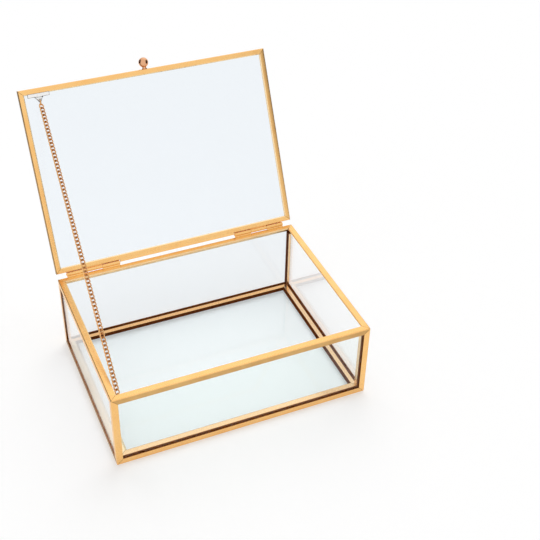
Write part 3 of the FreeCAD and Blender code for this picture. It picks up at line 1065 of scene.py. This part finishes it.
def sky_light(name, place, spread, power, in_gloss):
    """Far soft lamp, which lights either the dull surfaces or the gloss."""
    lamp = bpy.data.lights.new(name, "SUN")
    lamp.angle = spread
    lamp.energy = power
    holder = new_object(name, lamp)
    holder.location = place
    turn_to(holder, -Vector(place), "-Z")
    holder.visible_glossy = in_gloss
    holder.visible_diffuse = not in_gloss
    holder.visible_transmission = False


def dark_card(name, place, width, height):
    """Upright dark card with faded edges, which only shows in the metal and on the faces of the glass."""
    mesh = sheet_mesh(name, width, height)
    material, tree, surface = blank_material(name + "_black")
    dark = new_node(tree, "ShaderNodeBsdfDiffuse")
    dark.inputs["Color"].default_value = (*CARD_COLOUR, 1)
    clear = new_node(tree, "ShaderNodeBsdfTransparent")
    place_on_card = new_node(tree, "ShaderNodeTexCoord")
    spread = new_node(tree, "ShaderNodeMapping")
    spread.inputs["Scale"].default_value = (2 / width, 2 / height, 1)
    fade = new_node(tree, "ShaderNodeTexGradient", gradient_type="SPHERICAL")
    cover = new_node(tree, "ShaderNodeMapRange")
    cover.inputs["From Max"].default_value = CARD_FADE
    tree.links.new(place_on_card.outputs["Object"], spread.inputs["Vector"])
    tree.links.new(spread.outputs["Vector"], fade.inputs["Vector"])
    tree.links.new(fade.outputs["Fac"], cover.inputs["Value"])
    mix = mixed_shader(tree, cover.outputs["Result"], clear.outputs["BSDF"], dark.outputs["BSDF"])
    tree.links.new(mix, surface)
    mesh.materials.append(material)
    card = new_object(name, mesh)
    card.location = place
    turn_to(card, CARD_AIM - place, "Z")
    card.visible_camera = False
    card.visible_diffuse = False
    card.visible_transmission = False
    card.visible_shadow = False


def build_camera():
    stage = settings("stage")
    back = Vector((
        math.sin(stage.azimuth) * math.cos(stage.elevation),
        -math.cos(stage.azimuth) * math.cos(stage.elevation),
        math.sin(stage.elevation),
    ))
    right = (-back).cross(Z).normalized()
    up = back.cross(right)
    tilt = Matrix.Rotation(stage.roll, 3, back)
    axes = Matrix((tilt @ right, tilt @ up, back)).transposed()
    camera = bpy.data.cameras.new("camera")
    camera.lens = stage.lens
    camera.sensor_width = SENSOR_WIDTH
    camera.clip_start, camera.clip_end = CLIP_NEAR, CLIP_FAR
    holder = new_object("camera", camera)
    holder.matrix_world = Matrix.Translation(Vector(stage.target) + back * stage.distance) @ axes.to_4x4()
    bpy.context.scene.camera = holder


def build_stage():
    stage = settings("stage")
    bpy.context.scene.view_settings.view_transform = "Standard"
    build_world()
    build_floor()
    sky_light("key_light", stage.key_place, stage.key_spread, stage.key_power, False)
    sky_light("gloss_light", stage.gloss_place, stage.gloss_spread, stage.gloss_power, True)
    for name, (place, width, height) in CARDS.items():
        dark_card(name, place, width, height)
    build_camera()


# Operators and panel

class GLASS_BOX_OT_materials(bpy.types.Operator):
    """Make the brass finishes with their painted light and shade, the dark finishes and the glass"""

    bl_idname = "glass_box.materials"
    bl_label = "Finishes"

    def execute(self, context):
        make_materials()
        return {"FINISHED"}


class GLASS_BOX_OT_panes(bpy.types.Operator):
    """Make the panes with ground edges"""

    bl_idname = "glass_box.panes"
    bl_label = "Glass panes"

    def execute(self, context):
        build_panes()
        return {"FINISHED"}


class GLASS_BOX_OT_base_rails(bpy.types.Operator):
    """Make the folded angles of the base"""

    bl_idname = "glass_box.base_rails"
    bl_label = "Base frame"

    def execute(self, context):
        build_base_rails()
        return {"FINISHED"}


class GLASS_BOX_OT_beads(bpy.types.Operator):
    """Make the beads in the inner corners"""

    bl_idname = "glass_box.beads"
    bl_label = "Beads"

    def execute(self, context):
        build_beads()
        return {"FINISHED"}


class GLASS_BOX_OT_lid_rails(bpy.types.Operator):
    """Make the folded channels of the lid"""

    bl_idname = "glass_box.lid_rails"
    bl_label = "Lid frame"

    def execute(self, context):
        build_lid_rails()
        return {"FINISHED"}


class GLASS_BOX_OT_knob(bpy.types.Operator):
    """Turn the ball knob"""

    bl_idname = "glass_box.knob"
    bl_label = "Knob"

    def execute(self, context):
        build_knob()
        return {"FINISHED"}


class GLASS_BOX_OT_chain(bpy.types.Operator):
    """Set the curb links on the chain's bodies"""

    bl_idname = "glass_box.chain"
    bl_label = "Stay chain"

    def execute(self, context):
        build_chain()
        return {"FINISHED"}


class GLASS_BOX_OT_lug(bpy.types.Operator):
    """Make the bent strip that holds the chain"""

    bl_idname = "glass_box.lug"
    bl_label = "Chain lug"

    def execute(self, context):
        build_lug()
        return {"FINISHED"}


class GLASS_BOX_OT_fittings(bpy.types.Operator):
    """Finish the hinges and the chain's rings"""

    bl_idname = "glass_box.fittings"
    bl_label = "Hinges and rings"

    def execute(self, context):
        dress_fittings()
        return {"FINISHED"}


class GLASS_BOX_OT_stage(bpy.types.Operator):
    """Make the floor, the light and the camera"""

    bl_idname = "glass_box.stage"
    bl_label = "Stage"

    def execute(self, context):
        build_stage()
        return {"FINISHED"}


OPERATORS = (
    GLASS_BOX_OT_materials,
    GLASS_BOX_OT_panes,
    GLASS_BOX_OT_base_rails,
    GLASS_BOX_OT_beads,
    GLASS_BOX_OT_lid_rails,
    GLASS_BOX_OT_knob,
    GLASS_BOX_OT_chain,
    GLASS_BOX_OT_lug,
    GLASS_BOX_OT_fittings,
    GLASS_BOX_OT_stage,
)
GROUPS = {"brass": BrassSizes, "chain": ChainSizes, "finishes": Finishes, "stage": StageSettings}


class GLASS_BOX_PT_panel(bpy.types.Panel):
    """Sizes, finishes and steps of the glass box."""

    bl_idname = "GLASS_BOX_PT_panel"
    bl_label = "Glass box"
    bl_space_type = "VIEW_3D"
    bl_region_type = "UI"
    bl_category = "Glass box"

    def draw(self, context):
        for name, group in GROUPS.items():
            column = self.layout.column(align=True)
            for field in group.__annotations__:
                column.prop(settings(name), field)
        for operator in OPERATORS:
            self.layout.operator(operator.bl_idname)


def register():
    for name, group in GROUPS.items():
        bpy.utils.register_class(group)
        setattr(bpy.types.Scene, "glass_box_" + name, bpy.props.PointerProperty(type=group))
    for operator in OPERATORS:
        bpy.utils.register_class(operator)
    bpy.utils.register_class(GLASS_BOX_PT_panel)


def unregister():
    bpy.utils.unregister_class(GLASS_BOX_PT_panel)
    for operator in reversed(OPERATORS):
        bpy.utils.unregister_class(operator)
    for name, group in GROUPS.items():
        delattr(bpy.types.Scene, "glass_box_" + name)
        bpy.utils.unregister_class(group)


def main():
    register()
    bpy.ops.glass_box.materials()
    bpy.ops.glass_box.panes()
    bpy.ops.glass_box.base_rails()
    bpy.ops.glass_box.beads()
    bpy.ops.glass_box.lid_rails()
    bpy.ops.glass_box.knob()
    bpy.ops.glass_box.chain()
    bpy.ops.glass_box.lug()
    bpy.ops.glass_box.fittings()
    bpy.ops.glass_box.stage()


if __name__ == "__main__":
    main()
